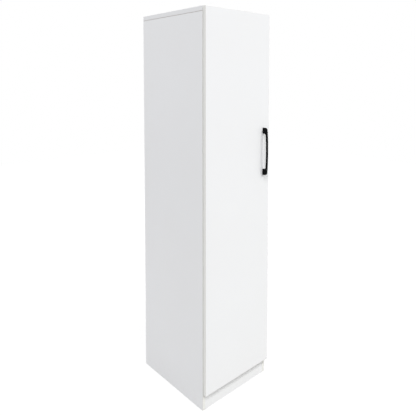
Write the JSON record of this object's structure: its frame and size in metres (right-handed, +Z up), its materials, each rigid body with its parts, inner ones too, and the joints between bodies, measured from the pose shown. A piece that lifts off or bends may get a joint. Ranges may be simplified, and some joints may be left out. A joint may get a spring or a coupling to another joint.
{
  "type": "broom cupboard",
  "caption": "Tall white broom cupboard: flat-pack carcass with a high shelf, and a full-height door above a plain plinth, on concealed hinges, with a black bow handle.",
  "frame": {"origin": "on the floor, in the middle of the width and of the depth including the handle", "axes": "+X to the right of someone facing the door, +Y from the door towards the back, +Z up"},
  "size_m": [0.45, 0.542, 1.95],
  "materials": {
    "white_board": "white melamine-faced chipboard, satin",
    "back_hardboard": "thin hardboard, white lacquered face",
    "edge_banding": "white edge banding, satin",
    "white_plastic": "white plastic, satin",
    "screw_steel": "zinc-plated steel",
    "cast_zinc": "die-cast zinc, dull",
    "beech_dowel": "bare fluted beech",
    "hinge_steel": "nickel-plated pressed steel",
    "black_handle": "black, glossy",
    "bumper_rubber": "soft grey stick-on pad"
  },
  "bodies": {
    "carcass": {"left_side_panel": "white_board", "right_side_panel": "white_board", "top_panel": "white_board", "bottom_panel": "white_board", "shelf": "white_board", "plinth_board": "white_board", "rear_fixing_rail": "white_board", "back_panel_lower": "back_hardboard", "back_panel_upper": "back_hardboard", "back_joining_strip": "white_plastic", "carcass_edge_bands": "edge_banding", "top_edge_band": "edge_banding", "cam_bolts": "screw_steel", "cam_locks": "cast_zinc", "cam_cover_caps": "white_plastic", "joint_dowels": "beech_dowel", "back_nails": "screw_steel", "hinge_mounting_plates": "hinge_steel", "hinge_plate_screws": "screw_steel", "hinge_arms": "hinge_steel", "hinge_arm_screws": "screw_steel", "hinge_arm_pins": "hinge_steel"},
    "hinge_links": {"hinge_links": "hinge_steel"},
    "door": {"door_panel": "white_board", "door_edge_bands": "edge_banding", "handle": "black_handle", "handle_screws": "screw_steel", "door_bumpers": "bumper_rubber", "hinge_cups": "hinge_steel", "hinge_cup_pins": "hinge_steel", "hinge_cup_screws": "screw_steel"}
  },
  "joints": [
    {"name": "hinge_link_swing", "type": "hinge", "parent": "carcass", "child": "hinge_links", "pos_m": [-0.1865, -0.2145, 0.182], "axis": [0, 0, 1], "range_deg": [0, 37.8]},
    {"name": "door_swing", "type": "hinge", "parent": "hinge_links", "child": "door", "pos_m": [-0.211, -0.2255, 0.182], "axis": [0, 0, -1], "range_deg": [0, 142.8]}
  ],
  "couplings": [
    {"joint": "hinge_link_swing", "follows": "door_swing", "ratio": 0.26471}
  ]
}
